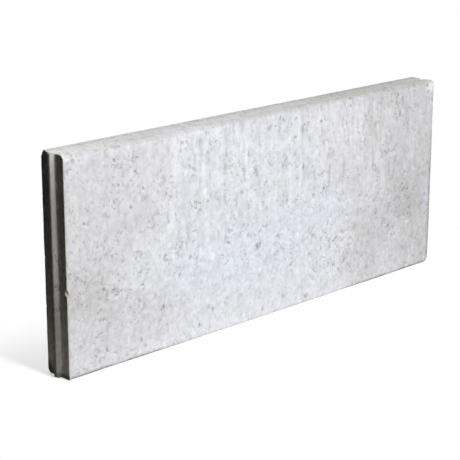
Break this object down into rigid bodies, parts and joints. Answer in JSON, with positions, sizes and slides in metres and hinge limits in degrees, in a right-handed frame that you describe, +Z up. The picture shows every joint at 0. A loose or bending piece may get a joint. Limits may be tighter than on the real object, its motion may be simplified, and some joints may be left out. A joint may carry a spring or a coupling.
{
  "type": "concrete kerb stone",
  "caption": "Flat upright concrete edging kerb with a bevelled upper front edge, a tongue along its left end and a matching groove along its right end, for edging paths and paving.",
  "frame": {"origin": "middle of the base of the working length, which runs from the shoulders beside the tongue to the end face around the groove", "axes": "+X along the kerb from the tongue end to the groove end, -Y out of the bevelled front face, +Z up"},
  "size_m": [1.008, 0.06, 0.4],
  "materials": {
    "concrete": "matte"
  },
  "bodies": {
    "root": {"kerb_stone": "concrete"}
  },
  "joints": []
}
